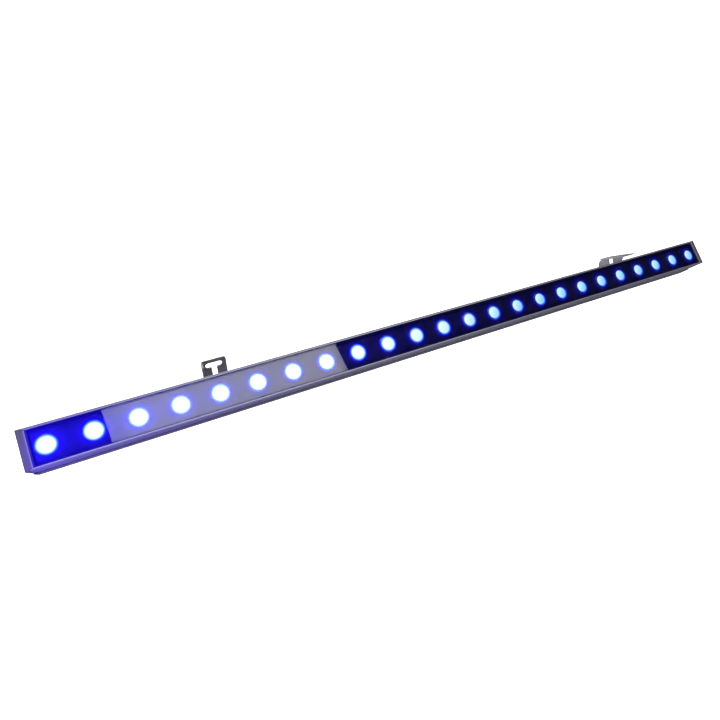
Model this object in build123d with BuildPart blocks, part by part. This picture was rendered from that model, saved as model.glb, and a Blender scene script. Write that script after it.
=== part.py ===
"""Linear wall washer: an extruded bar lamp with 24 lenses on two tilting, sliding wall brackets.

The bar lies along X, its light leaves along +Z, and the wall plates stand on its +Y side.
The origin is the middle of the bar's rear face. All sizes are in millimetres and degrees.
"""
from build123d import *
import os
from math import cos, radians, sin

# Whole lamp
lamp_length = 1000.0
led_count = 24
led_pitch = lamp_length / led_count

# Extruded housing, seen along X
housing_depth = 46.0
lip_half_width = 20.65
lip_thickness = 2.3
lip_bevel = 0.8
lip_corner_radius = 0.5
band_half_width = 21.7
band_height = 20.0
rear_corner_radius = 2.5
groove_half_width = 19.9
groove_height = 3.0
side_wall = 2.2
floor_thickness = 2.2
web_thickness = 2.5
web_top = band_height + web_thickness
window_half_width = lip_half_width - lip_thickness

# Ledges that carry the glass
ledge_width = 1.9
ledge_thickness = 1.3
glass_thickness = 3.0
glass_recess = 2.0
gasket_thickness = 0.5
glass_clearance = 0.15
glass_bottom = housing_depth - glass_recess - glass_thickness
ledge_top = glass_bottom - gasket_thickness
ledge_bottom = ledge_top - ledge_thickness

# Screw channels for the end caps
boss_radius = 3.2
cap_screw_radius = 1.5
boss_inset = 3.05
lower_boss_height = 5.3
upper_boss_lift = 0.15
upper_boss_height = (web_top + ledge_bottom) / 2 + upper_boss_lift

# T-channel in the rear face
channel_mouth_half_width = 4.2
channel_half_width = 7.5
channel_lip = 2.0
channel_height = 4.4
channel_wall = 1.8

# End caps
cap_plate_thickness = 4.0
cap_gasket_thickness = 0.8
cap_front_width = 7.8
cap_front_bevel = 1.5
cap_edge_radius = 0.6
cap_screw_hole_radius = 1.7
cap_screw_head_radius = 2.8
cap_screw_head_height = 1.8
cap_screw_length = 14.0
counterbore_clearance = 0.3
cap_gasket_opening_width = 22.0
cap_gasket_opening_height = 23.0
housing_half_length = lamp_length / 2 - cap_plate_thickness - cap_gasket_thickness
cap_inner_face = lamp_length / 2 - cap_plate_thickness
window_half_length = lamp_length / 2 - cap_front_width

# Optics
board_length_gap = 0.5
board_end_gap = 5.0
board_half_width = 14.5
board_thickness = 1.6
emitter_width = 3.5
emitter_height = 0.8
emitter_dome_radius = 1.3
holder_radius = 11.3
holder_wall = 1.0
holder_notch_width = 4.0
holder_notch_height = 2.5
lens_radius = 10.6
lens_body_clearance = 0.15
lens_base_radius = 4.6
lens_base_height = 3.4
lens_flange_height = 2.5
lens_dish_radius = 7.6
lens_dish_depth = 0.6
mask_thickness = 1.5
mask_hole_radius = 11.0
mask_side_clearance = 0.3
mask_end_clearance = 1.2
board_top = web_top + board_thickness
holder_top = ledge_bottom - mask_thickness
board_screw_radius = 1.5
board_screw_head_radius = 2.8
board_screw_head_height = 1.6
board_screw_length = 6.0
board_screw_steps = (1, 4, 8, 11)
connector_length = 12.0
connector_width = 9.0
connector_height = 4.0

# Driver and wires in the rear chamber
driver_length = 240.0
driver_width = 27.0
driver_height = 9.2
driver_wall = 1.0
driver_board_inset = 0.4
driver_board_thickness = 1.6
transformer_length = 24.0
transformer_width = 17.0
capacitor_radius = 2.6
capacitor_length = 20.0
choke_radius = 5.0
component_height = 5.4
component_reach_share = 0.34
wire_radius = 0.9
wire_spacing = 3.2
wire_bend_radius = 3.0
wire_seat_gap = 0.05
wire_overlap = 8.0
lead_hole_radius = 2.9
lead_hole_from_driver = 30.0
lead_hole_x = -driver_length / 2 - lead_hole_from_driver
terminal_length = 22.0
terminal_width = 17.0
terminal_height = 9.0
terminal_from_cap = 24.0
chamber_bottom = channel_lip + channel_height + channel_wall
wire_height = chamber_bottom + driver_wall + driver_board_thickness + wire_radius + wire_seat_gap

# Cable gland in the right cap, and vent in the left cap
gland_height = 14.1
gland_thread_radius = 5.0
gland_bore_radius = 3.2
gland_flats = 15.0
gland_flange_height = 5.0
gland_neck_radius = 5.6
gland_neck_height = 6.0
gland_nut_length = 12.0
gland_nut_radius = 7.4
gland_nut_mouth_radius = 4.4
gland_seal_radius = 4.4
gland_seal_length = 7.0
locknut_flats = 11.6
locknut_thickness = 3.0
vent_radius = 4.5
vent_height = 3.0
vent_thread_radius = 3.0
vent_hole_radius = 0.8

# Wall brackets, in their own frame: u along the plate, n square to it, from the pivot
bracket_end_distance = (180.7, 155.0)
bracket_lean = (38.0, -18.5)
plate_width = 30.0
plate_thickness = 2.0
plate_offset = 39.0
plate_front = 30.0
plate_rear = 16.5
plate_front_radius = 3.0
plate_rear_radius = 8.0
bend_radius = 1.6
slot_bar_length = 20.6
slot_bar_width = 7.6
slot_stem_width = 6.3
slot_front_margin = 4.8
slot_total_length = 29.0
ear_thickness = 2.0
ear_boss_radius = 7.5
ear_window_front = 11.5
ear_window_rear = 4.0
ear_window_bottom = 31.0
ear_leg_front = -3.5
ear_leg_step = 25.5
ear_rear_height = 29.0
tab_bottom = 32.0
tab_front_bottom = 26.0
pivot_depth = 8.0

# Pivot hardware and the shoe that clamps each bracket to the channel
bolt_radius = 3.0
bolt_clearance = 0.08
bolt_head_flats = 10.0
bolt_head_height = 4.0
bolt_overhang = 1.0
washer_radius = 6.2
washer_thickness = 1.2
friction_washer_thickness = 0.8
side_gap = 0.1
slide_gap = 0.25
pivot_nut_flats = 10.0
pivot_nut_thickness = 4.0
lug_thickness = 8.0
lug_radius = 7.4
shoe_base_length = 40.0
shoe_base_width = 22.0
shoe_base_thickness = 2.6
shoe_corner_radius = 2.0
shoe_screw_radius = 2.5
shoe_screw_head_radius = 4.2
shoe_screw_head_height = 3.0
shoe_screw_socket_flats = 4.0
shoe_screw_socket_depth = 1.8
shoe_screw_shares = (0.5, 0.85)
channel_nut_length = 30.0
channel_nut_thickness = 3.8
overrun = 1.0

led_places = [(led_pitch * (index - (led_count - 1) / 2), 0, 0) for index in range(led_count)]
cap_screw_places = [
    (side * (half - boss_inset), height)
    for side in (-1, 1)
    for half, height in (
        (band_half_width - side_wall, lower_boss_height),
        (window_half_width, upper_boss_height),
    )
]

os.makedirs("parts", exist_ok=True)


def save(piece, name):
    """Label a finished piece and write it to its own file."""
    piece.part.label = name
    export_step(piece.part, "parts/" + name + ".step")


def outer_outline():
    """Outline of the housing's section: wide rear band, narrow groove, front band with lips."""
    with BuildSketch() as outline:
        Rectangle(2 * band_half_width, band_height, align=(Align.CENTER, Align.MIN))
        fillet(outline.vertices().group_by(Axis.Y)[0], rear_corner_radius)
        with Locations((0, band_height)):
            Rectangle(2 * groove_half_width, groove_height, align=(Align.CENTER, Align.MIN))
        front_start = band_height + groove_height
        with Locations((0, front_start)):
            front_height = housing_depth - front_start
            Rectangle(2 * lip_half_width, front_height, align=(Align.CENTER, Align.MIN))
        fillet(outline.vertices().group_by(Axis.Y)[-1], lip_corner_radius)
    return outline.sketch


def housing_section():
    """Section of the extrusion: optics trough, web, rear chamber, T-channel and screw channels."""
    with BuildSketch() as section:
        add(outer_outline())
        with Locations((0, web_top)):
            trough_height = housing_depth - web_top
            Rectangle(
                2 * window_half_width, trough_height, align=(Align.CENTER, Align.MIN), mode=Mode.SUBTRACT
            )
        inner_lips = section.vertices().group_by(Axis.Y)[-1].sort_by(Axis.X)[1:-1]
        chamfer(inner_lips, lip_bevel)
        with Locations((0, floor_thickness)):
            chamber_height = band_height - floor_thickness
            chamber_width = 2 * (band_half_width - side_wall)
            Rectangle(chamber_width, chamber_height, align=(Align.CENTER, Align.MIN), mode=Mode.SUBTRACT)
        for side, edge in ((1, Align.MAX), (-1, Align.MIN)):
            with Locations((side * window_half_width, ledge_bottom)):
                Rectangle(ledge_width, ledge_thickness, align=(edge, Align.MIN))
        Rectangle(
            2 * (channel_half_width + channel_wall), chamber_bottom, align=(Align.CENTER, Align.MIN)
        )
        with Locations((0, channel_lip)):
            Rectangle(
                2 * channel_half_width, channel_height, align=(Align.CENTER, Align.MIN), mode=Mode.SUBTRACT
            )
        Rectangle(
            2 * channel_mouth_half_width, channel_lip, align=(Align.CENTER, Align.MIN), mode=Mode.SUBTRACT
        )
        with Locations(*cap_screw_places):
            Circle(boss_radius)
            Circle(cap_screw_radius, mode=Mode.SUBTRACT)
    return section.sketch


def make_housing():
    """Extruded housing, with the hole in its web that the lamp leads pass through."""
    with BuildPart() as piece:
        with BuildSketch(Plane.YZ):
            add(housing_section())
        extrude(amount=housing_half_length, both=True)
        with Locations((lead_hole_x, 0, web_top - web_thickness / 2)):
            Cylinder(lead_hole_radius, 2 * web_thickness, mode=Mode.SUBTRACT)
        with Locations(*board_screw_places(web_top)):
            Cylinder(board_screw_radius, 2 * web_thickness, mode=Mode.SUBTRACT)
    return piece


def board_screw_places(height):
    """Places of the screws that hold the two lamp boards, midway between lenses."""
    half_count = led_count // 2
    near = [led_pitch * (step - half_count) for step in board_screw_steps]
    return [(x, 0, height) for x in near + [-x for x in near]]


def make_glass():
    """Flat toughened glass that fills the window."""
    with BuildPart() as piece:
        with BuildSketch(Plane.XY.offset(glass_bottom)):
            Rectangle(
                2 * (window_half_length - glass_clearance), 2 * (window_half_width - glass_clearance)
            )
        extrude(amount=glass_thickness)
        chamfer(piece.edges().filter_by(GeomType.LINE).group_by(Axis.Z)[-1], glass_clearance)
    return piece


def make_glass_gasket():
    """Silicone bead between the ledges and the glass, a flat ring."""
    with BuildPart() as piece:
        with BuildSketch(Plane.XY.offset(ledge_top)):
            outer_length = 2 * (window_half_length - glass_clearance)
            outer_width = 2 * (window_half_width - glass_clearance)
            Rectangle(outer_length, outer_width)
            Rectangle(
                outer_length - 2 * ledge_width, outer_width - 2 * ledge_width, mode=Mode.SUBTRACT
            )
        extrude(amount=gasket_thickness)
    return piece


def make_mask():
    """Black plate with a round hole for each lens."""
    with BuildPart() as piece:
        with BuildSketch(Plane.XY.offset(holder_top)):
            Rectangle(
                2 * (housing_half_length - mask_end_clearance),
                2 * (window_half_width - mask_side_clearance),
            )
            with Locations(*[(x, y) for x, y, z in led_places]):
                Circle(mask_hole_radius, mode=Mode.SUBTRACT)
        extrude(amount=mask_thickness)
    return piece


def make_lenses():
    """One moulded collimator lens over each emitter: a cone under a dished, round flange."""
    body_radius = holder_radius - holder_wall - lens_body_clearance
    lens_top = holder_top + lens_flange_height
    with BuildPart() as lens:
        with BuildSketch(Plane.XZ):
            with BuildLine():
                Polyline(
                    (0, lens_top - lens_dish_depth),
                    (0, board_top + lens_base_height),
                    (lens_base_radius, board_top + lens_base_height),
                    (body_radius, holder_top),
                    (lens_radius, holder_top),
                    (lens_radius, lens_top),
                    (lens_dish_radius, lens_top),
                    (lens_dish_radius - lens_dish_depth, lens_top - lens_dish_depth),
                    close=True,
                )
            make_face()
        revolve(axis=Axis.Z)
    with BuildPart() as piece:
        with Locations(*led_places):
            add(lens.part)
    return piece


def make_holders():
    """Black tube that stands on the board round each emitter and carries the lens flange."""
    holder_height = holder_top - board_top
    with BuildPart() as holder:
        with BuildSketch(Plane.XY.offset(board_top)):
            Circle(holder_radius)
            Circle(holder_radius - holder_wall, mode=Mode.SUBTRACT)
        extrude(amount=holder_height)
        with Locations((0, 0, board_top)):
            Box(
                2 * (holder_radius + overrun),
                holder_notch_width,
                2 * holder_notch_height,
                mode=Mode.SUBTRACT,
            )
    with BuildPart() as piece:
        with Locations(*led_places):
            add(holder.part)
    return piece


def make_emitters():
    """Square emitter with a small dome at each lens."""
    with BuildPart() as emitter:
        with BuildSketch(Plane.XY.offset(board_top)):
            Rectangle(emitter_width, emitter_width)
        extrude(amount=emitter_height)
        with Locations((0, 0, board_top + emitter_height)):
            Cylinder(
                emitter_dome_radius,
                emitter_dome_radius / 2,
                align=(Align.CENTER, Align.CENTER, Align.MIN),
            )
    with BuildPart() as piece:
        with Locations(*led_places):
            add(emitter.part)
    return piece


def make_board(side):
    """One of the two aluminium-core boards that carry the emitters."""
    inner = board_length_gap
    outer = housing_half_length - board_end_gap
    with BuildPart() as piece:
        with BuildSketch(Plane.XY.offset(web_top)):
            with Locations((side * (inner + outer) / 2, 0)):
                Rectangle(outer - inner, 2 * board_half_width)
            with Locations(*[(x, y) for x, y, z in board_screw_places(0) if x * side > 0]):
                Circle(board_screw_radius, mode=Mode.SUBTRACT)
        extrude(amount=board_thickness)
        with Locations((lead_hole_x, 0, web_top)):
            Cylinder(lead_hole_radius, 2 * board_thickness + overrun, mode=Mode.SUBTRACT)
    return piece


def make_board_screws():
    """Pan-head screws that clamp the boards to the web."""
    with BuildPart() as piece:
        with Locations(*board_screw_places(board_top)):
            Cylinder(
                board_screw_head_radius,
                board_screw_head_height,
                align=(Align.CENTER, Align.CENTER, Align.MIN),
            )
            Cylinder(
                board_screw_radius, board_screw_length, align=(Align.CENTER, Align.CENTER, Align.MAX)
            )
    return piece


def make_board_connector():
    """Plug connector that joins the two boards end to end."""
    with BuildPart() as piece:
        with BuildSketch(Plane.XY.offset(board_top)):
            Rectangle(connector_length, connector_width)
        extrude(amount=connector_height)
        chamfer(piece.edges().group_by(Axis.Z)[-1], connector_height / 8)
    return piece


def make_driver_tray():
    """Open tray of bent sheet on the channel's roof."""
    with BuildPart() as piece:
        with BuildSketch(Plane.YZ):
            with Locations((0, chamber_bottom)):
                Rectangle(driver_width, driver_height, align=(Align.CENTER, Align.MIN))
            with Locations((0, chamber_bottom + driver_wall)):
                Rectangle(
                    driver_width - 2 * driver_wall,
                    driver_height,
                    align=(Align.CENTER, Align.MIN),
                    mode=Mode.SUBTRACT,
                )
        extrude(amount=driver_length / 2, both=True)
    return piece


def make_driver_board():
    """Circuit board of the driver, flat in the tray."""
    with BuildPart() as piece:
        with BuildSketch(Plane.XY.offset(chamber_bottom + driver_wall)):
            Rectangle(driver_length, driver_width - 2 * (driver_wall + driver_board_inset))
        extrude(amount=driver_board_thickness)
    return piece


def make_driver_components():
    """Transformer, two lying capacitors and a choke on the driver board."""
    base = chamber_bottom + driver_wall + driver_board_thickness
    reach = driver_length * component_reach_share
    with BuildPart() as piece:
        with Locations((0, 0, base)):
            Box(
                transformer_length,
                transformer_width,
                component_height,
                align=(Align.CENTER, Align.CENTER, Align.MIN),
            )
        with Locations((reach, capacitor_radius * 2, base), (reach, -capacitor_radius * 2, base)):
            Cylinder(
                capacitor_radius,
                capacitor_length,
                rotation=(0, 90, 0),
                align=(Align.MAX, Align.CENTER, Align.CENTER),
            )
        with Locations((-reach / 2, 0, base)):
            Cylinder(choke_radius, component_height, align=(Align.CENTER, Align.CENTER, Align.MIN))
    return piece


def make_lamp_leads():
    """Two wires from the driver's end up through the web to the left board."""
    start_x = wire_overlap - driver_length / 2
    height = wire_height
    with BuildPart() as piece:
        for side in (-1, 1):
            y = side * wire_spacing / 2
            with BuildLine() as route:
                FilletPolyline(
                    (start_x, y, height),
                    (lead_hole_x, y, height),
                    (lead_hole_x, y, board_top),
                    radius=wire_bend_radius,
                )
            start = Plane(origin=(start_x, y, height), z_dir=(-1, 0, 0))
            with BuildSketch(start) as wire_section:
                Circle(wire_radius)
            sweep(sections=wire_section.sketch, path=route.line)
    return piece


def make_supply_wires():
    """Three straight cores from the terminal block to the driver."""
    start_x = driver_length / 2 - wire_overlap
    end_x = housing_half_length - terminal_from_cap - terminal_length
    height = wire_height
    with BuildPart() as piece:
        with BuildSketch(Plane.YZ.offset(start_x)):
            with Locations(*[(step * wire_spacing, height) for step in (-1, 0, 1)]):
                Circle(wire_radius)
        extrude(amount=end_x - start_x)
    return piece


def make_terminal_block():
    """Terminal block on the channel's roof behind the gland."""
    centre_x = housing_half_length - terminal_from_cap - terminal_length / 2
    with BuildPart() as piece:
        with BuildSketch(Plane.XY.offset(chamber_bottom)):
            with Locations((centre_x, 0)):
                Rectangle(terminal_length, terminal_width)
        extrude(amount=terminal_height)
        chamfer(piece.edges().group_by(Axis.Z)[-1], terminal_height / 10)
    return piece


def make_end_cap(side, hole_radius):
    """End cap: a plate over the section's end, with a bar that closes the window's end."""
    outer = Plane(origin=(side * lamp_length / 2, 0, 0), x_dir=(0, 1, 0), z_dir=(1, 0, 0))
    inner_end = side * window_half_length
    with BuildPart() as piece:
        with BuildSketch(outer):
            add(outer_outline())
        extrude(amount=-side * cap_plate_thickness)
        outer_face = piece.faces().sort_by(Axis.X)[-1 if side > 0 else 0]
        fillet(outer_face.outer_wire().edges(), cap_edge_radius)
        with BuildSketch(Plane.XY.offset(glass_bottom)):
            with Locations(((inner_end + side * cap_inner_face) / 2, 0)):
                Rectangle(
                    cap_inner_face - window_half_length, 2 * (window_half_width - glass_clearance)
                )
        extrude(amount=housing_depth - glass_bottom)
        bar_corner = Vector(inner_end, 0, housing_depth)
        chamfer(piece.edges().sort_by_distance(bar_corner)[0], cap_front_bevel)
        with BuildSketch(outer):
            with Locations(*cap_screw_places):
                Circle(cap_screw_hole_radius)
            with Locations((0, gland_height)):
                Circle(hole_radius)
        extrude(amount=-side * cap_plate_thickness, mode=Mode.SUBTRACT)
        with BuildSketch(outer):
            with Locations(*cap_screw_places):
                Circle(cap_screw_head_radius + counterbore_clearance)
        extrude(amount=-side * cap_screw_head_height, mode=Mode.SUBTRACT)
    return piece


def make_cap_gasket(side):
    """Flat silicone gasket between the housing's end and the cap plate."""
    start = Plane(origin=(side * housing_half_length, 0, 0), x_dir=(0, 1, 0), z_dir=(1, 0, 0))
    with BuildPart() as piece:
        with BuildSketch(start):
            add(outer_outline())
            with Locations((0, chamber_bottom)):
                Rectangle(
                    cap_gasket_opening_width,
                    cap_gasket_opening_height,
                    align=(Align.CENTER, Align.MIN),
                    mode=Mode.SUBTRACT,
                )
            with Locations((0, glass_bottom)):
                Rectangle(
                    2 * window_half_width,
                    housing_depth - glass_bottom,
                    align=(Align.CENTER, Align.MIN),
                    mode=Mode.SUBTRACT,
                )
            with Locations(*cap_screw_places):
                Circle(cap_screw_hole_radius, mode=Mode.SUBTRACT)
        extrude(amount=side * cap_gasket_thickness)
    return piece


def make_cap_screws(side):
    """Four pan-head screws that hold an end cap, sunk in their counterbores."""
    seat_x = side * (lamp_length / 2 - cap_screw_head_height)
    seat = Plane(origin=(seat_x, 0, 0), x_dir=(0, 1, 0), z_dir=(1, 0, 0))
    with BuildPart() as piece:
        with BuildSketch(seat):
            with Locations(*cap_screw_places):
                Circle(cap_screw_head_radius)
        extrude(amount=side * (cap_screw_head_height - counterbore_clearance))
        with BuildSketch(seat):
            with Locations(*cap_screw_places):
                Circle(cap_screw_radius)
        extrude(amount=-side * cap_screw_length)
    return piece


def gland_plane(x):
    """Plane square to X at the gland's axis."""
    return Plane(origin=(x, 0, gland_height), x_dir=(0, 1, 0), z_dir=(1, 0, 0))


def make_gland_body():
    """Gland body: thread through the cap, hexagon outside it and a neck for the seal."""
    face = lamp_length / 2
    flange_end = face + gland_flange_height
    with BuildPart() as piece:
        with BuildSketch(gland_plane(cap_inner_face - locknut_thickness)):
            Circle(gland_thread_radius)
        extrude(amount=cap_plate_thickness + locknut_thickness)
        with BuildSketch(gland_plane(face)):
            RegularPolygon(gland_flats / 2, 6, major_radius=False, rotation=30)
        extrude(amount=gland_flange_height)
        with BuildSketch(gland_plane(flange_end)):
            Circle(gland_neck_radius)
        extrude(amount=gland_neck_height)
        with BuildSketch(gland_plane(cap_inner_face - locknut_thickness)):
            Circle(gland_bore_radius)
        bore_length = flange_end + gland_neck_height - cap_inner_face + locknut_thickness
        extrude(amount=bore_length, mode=Mode.SUBTRACT)
        with BuildSketch(gland_plane(flange_end + gland_neck_height)):
            Circle(gland_seal_radius)
        extrude(amount=-gland_seal_length / 2, mode=Mode.SUBTRACT)
    return piece


def make_gland_seal():
    """Rubber sleeve that grips the cable in the gland's neck."""
    middle = lamp_length / 2 + gland_flange_height + gland_neck_height
    with BuildPart() as piece:
        with BuildSketch(gland_plane(middle)):
            Circle(gland_seal_radius)
            Circle(gland_bore_radius, mode=Mode.SUBTRACT)
        extrude(amount=gland_seal_length / 2, both=True)
    return piece


def make_gland_nut():
    """Domed nut that screws over the neck and presses on the seal."""
    start = lamp_length / 2 + gland_flange_height
    seal_end = gland_neck_height + gland_seal_length / 2
    with BuildPart() as piece:
        with BuildSketch(gland_plane(start)):
            Circle(gland_nut_radius)
        extrude(amount=gland_nut_length)
        fillet(piece.edges().sort_by(Axis.X)[-1], gland_nut_radius - gland_nut_mouth_radius)
        with BuildSketch(gland_plane(start)):
            Circle(gland_neck_radius)
        extrude(amount=gland_neck_height, mode=Mode.SUBTRACT)
        with BuildSketch(gland_plane(start)):
            Circle(gland_seal_radius)
        extrude(amount=seal_end, mode=Mode.SUBTRACT)
        with BuildSketch(gland_plane(start)):
            Circle(gland_bore_radius)
        extrude(amount=gland_nut_length, mode=Mode.SUBTRACT)
    return piece


def make_gland_locknut():
    """Thin hexagon nut inside the cap."""
    with BuildPart() as piece:
        with BuildSketch(gland_plane(cap_inner_face)):
            RegularPolygon(locknut_flats / 2, 6, major_radius=False)
            Circle(gland_thread_radius, mode=Mode.SUBTRACT)
        extrude(amount=-locknut_thickness)
    return piece


def make_vent():
    """Breather plug in the left cap."""
    face = -lamp_length / 2
    with BuildPart() as piece:
        with BuildSketch(gland_plane(face)):
            Circle(vent_radius)
        extrude(amount=-vent_height)
        fillet(piece.edges().sort_by(Axis.X)[0], vent_height / 4)
        with BuildSketch(gland_plane(face)):
            Circle(vent_thread_radius)
        extrude(amount=cap_plate_thickness)
        with BuildSketch(gland_plane(face - vent_height)):
            Circle(vent_hole_radius)
        extrude(amount=vent_height + cap_plate_thickness, mode=Mode.SUBTRACT)
    return piece


def bracket_axes(lean):
    """Directions of a bracket leaned back by the angle: along its plate, and square to it."""
    along = Vector(0, sin(radians(lean)), cos(radians(lean)))
    square = Vector(0, cos(radians(lean)), -sin(radians(lean)))
    return along, square


def make_bracket(edge_x, lean):
    """Wall bracket: T-slotted plate with a bent-down ear that turns on the pivot bolt."""
    along, square = bracket_axes(lean)
    pivot = Vector(edge_x, 0, -pivot_depth)
    plate_top = plate_offset + plate_thickness
    ear_plane = Plane(origin=pivot + Vector(ear_thickness, 0, 0), x_dir=along, z_dir=(-1, 0, 0))
    plate_origin = pivot + square * plate_top + Vector(plate_width / 2, 0, 0)
    plate_plane = Plane(origin=plate_origin, x_dir=(1, 0, 0), z_dir=-square)
    bar_place = plate_front - slot_front_margin - slot_bar_width / 2
    with BuildPart() as piece:
        with BuildSketch(ear_plane):
            with BuildLine():
                Polyline(
                    (-plate_rear, plate_offset),
                    (-plate_rear, ear_rear_height),
                    (-ear_boss_radius, 0),
                    (ear_leg_front, 0),
                    (ear_leg_front, ear_leg_step),
                    (ear_window_rear, ear_window_bottom),
                    (ear_window_rear, plate_offset),
                    close=True,
                )
            make_face()
            rear_top = Vector(-plate_rear, plate_offset)
            fillet(vertices().sort_by_distance(rear_top)[0], plate_rear_radius)
            Circle(ear_boss_radius)
            with BuildLine():
                Polyline(
                    (ear_window_front, plate_offset),
                    (ear_window_front, tab_bottom),
                    (tab_front_bottom, tab_bottom),
                    (plate_front, plate_offset),
                    close=True,
                )
            make_face()
            Circle(bolt_radius + bolt_clearance, mode=Mode.SUBTRACT)
        extrude(amount=ear_thickness)
        with BuildSketch(plate_plane):
            with Locations((0, (plate_front - plate_rear) / 2)):
                Rectangle(plate_width, plate_front + plate_rear)
            fillet(vertices().group_by(Axis.Y)[-1], plate_front_radius)
            fillet(vertices().group_by(Axis.Y)[0], plate_rear_radius)
            with Locations((0, bar_place)):
                SlotOverall(slot_bar_length, slot_bar_width, mode=Mode.SUBTRACT)
            stem_middle = plate_front - slot_front_margin - slot_total_length / 2
            with Locations((0, stem_middle)):
                SlotOverall(slot_total_length, slot_stem_width, rotation=90, mode=Mode.SUBTRACT)
        extrude(amount=plate_thickness)
        bend_middle = pivot + square * plate_top + along * (plate_front - plate_rear) / 2
        fillet(piece.edges().sort_by_distance(bend_middle)[0], bend_radius)
    return piece


def make_shoe(edge_x):
    """Cast shoe: a base on the rear face with a lug that holds the pivot bolt."""
    lug_x = edge_x + ear_thickness + 2 * side_gap + friction_washer_thickness
    base_top = -slide_gap
    with BuildPart() as piece:
        with BuildSketch(Plane.XY.offset(base_top)):
            with Locations((lug_x, 0)):
                Rectangle(shoe_base_length, shoe_base_width, align=(Align.MIN, Align.CENTER))
            fillet(vertices(), shoe_corner_radius)
        extrude(amount=-shoe_base_thickness)
        with BuildSketch(Plane.YZ.offset(lug_x)):
            with Locations((0, -pivot_depth)):
                Circle(lug_radius)
                Rectangle(2 * lug_radius, pivot_depth - slide_gap, align=(Align.CENTER, Align.MIN))
        extrude(amount=lug_thickness)
        with BuildSketch(Plane.YZ.offset(lug_x)):
            with Locations((0, -pivot_depth)):
                Circle(bolt_radius)
        extrude(amount=lug_thickness, mode=Mode.SUBTRACT)
        with BuildSketch(Plane.XY.offset(base_top)):
            with Locations(*shoe_screw_places(edge_x)):
                Circle(shoe_screw_radius)
        extrude(amount=-shoe_base_thickness, mode=Mode.SUBTRACT)
    return piece


def shoe_screw_places(edge_x):
    """Places of the two clamp screws along a shoe's base."""
    lug_x = edge_x + ear_thickness + 2 * side_gap + friction_washer_thickness
    return [(lug_x + shoe_base_length * share, 0) for share in shoe_screw_shares]


def make_channel_nut(edge_x):
    """Flat nut in the T-channel that the clamp screws pull on."""
    middle = sum(x for x, y in shoe_screw_places(edge_x)) / len(shoe_screw_shares)
    with BuildPart() as piece:
        with BuildSketch(Plane.XY.offset(channel_lip + slide_gap)):
            with Locations((middle, 0)):
                Rectangle(channel_nut_length, 2 * (channel_half_width - slide_gap))
            with Locations(*shoe_screw_places(edge_x)):
                Circle(shoe_screw_radius, mode=Mode.SUBTRACT)
        extrude(amount=channel_nut_thickness)
    return piece


def make_shoe_screws(edge_x):
    """Two socket-head screws through the shoe into the channel nut."""
    seat = -slide_gap - shoe_base_thickness
    shank_length = shoe_base_thickness + 2 * slide_gap + channel_lip + channel_nut_thickness
    with BuildPart() as piece:
        with BuildSketch(Plane.XY.offset(seat)):
            with Locations(*shoe_screw_places(edge_x)):
                Circle(shoe_screw_radius)
        extrude(amount=shank_length)
        with BuildSketch(Plane.XY.offset(seat)):
            with Locations(*shoe_screw_places(edge_x)):
                Circle(shoe_screw_head_radius)
        extrude(amount=-shoe_screw_head_height)
        with BuildSketch(Plane.XY.offset(seat - shoe_screw_head_height)):
            with Locations(*shoe_screw_places(edge_x)):
                RegularPolygon(shoe_screw_socket_flats / 2, 6, major_radius=False)
        extrude(amount=shoe_screw_socket_depth, mode=Mode.SUBTRACT)
    return piece


def pivot_plane(x):
    """Plane square to the pivot axis."""
    return Plane(origin=(x, 0, -pivot_depth), x_dir=(0, 1, 0), z_dir=(1, 0, 0))


def make_pivot_bolt(edge_x):
    """Hexagon bolt that the ear turns on."""
    head_x = edge_x - side_gap - washer_thickness
    stack = washer_thickness + ear_thickness + 3 * side_gap + friction_washer_thickness
    length = stack + lug_thickness + pivot_nut_thickness + bolt_overhang
    with BuildPart() as piece:
        with BuildSketch(pivot_plane(head_x)):
            RegularPolygon(bolt_head_flats / 2, 6, major_radius=False)
        extrude(amount=-bolt_head_height)
        with BuildSketch(pivot_plane(head_x)):
            Circle(bolt_radius)
        extrude(amount=length)
    return piece


def make_pivot_washer(edge_x):
    """Plain washer under the bolt's head."""
    with BuildPart() as piece:
        with BuildSketch(pivot_plane(edge_x - side_gap)):
            Circle(washer_radius)
            Circle(bolt_radius, mode=Mode.SUBTRACT)
        extrude(amount=-washer_thickness)
    return piece


def make_friction_washer(edge_x):
    """Friction washer between the ear and the lug."""
    with BuildPart() as piece:
        with BuildSketch(pivot_plane(edge_x + ear_thickness + 2 * side_gap)):
            Circle(washer_radius)
            Circle(bolt_radius, mode=Mode.SUBTRACT)
        extrude(amount=friction_washer_thickness)
    return piece


def make_pivot_nut(edge_x):
    """Nut that locks the pivot bolt behind the lug."""
    lug_x = edge_x + ear_thickness + 2 * side_gap + friction_washer_thickness
    with BuildPart() as piece:
        with BuildSketch(pivot_plane(lug_x + lug_thickness)):
            RegularPolygon(pivot_nut_flats / 2, 6, major_radius=False)
            Circle(bolt_radius, mode=Mode.SUBTRACT)
        extrude(amount=pivot_nut_thickness)
    return piece


save(make_housing(), "housing")
save(make_glass(), "front_glass")
save(make_glass_gasket(), "glass_gasket")
save(make_mask(), "mask_plate")
save(make_lenses(), "lenses")
save(make_holders(), "lens_holders")
save(make_emitters(), "led_emitters")
save(make_board(-1), "led_board_left")
save(make_board(1), "led_board_right")
save(make_board_connector(), "board_connector")
save(make_board_screws(), "board_screws")
save(make_driver_tray(), "driver_tray")
save(make_driver_board(), "driver_board")
save(make_driver_components(), "driver_components")
save(make_lamp_leads(), "lamp_leads")
save(make_supply_wires(), "supply_wires")
save(make_terminal_block(), "terminal_block")
save(make_end_cap(-1, vent_thread_radius), "end_cap_left")
save(make_end_cap(1, gland_thread_radius), "end_cap_right")
save(make_cap_gasket(-1), "end_gasket_left")
save(make_cap_gasket(1), "end_gasket_right")
save(make_cap_screws(-1), "cap_screws_left")
save(make_cap_screws(1), "cap_screws_right")
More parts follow.
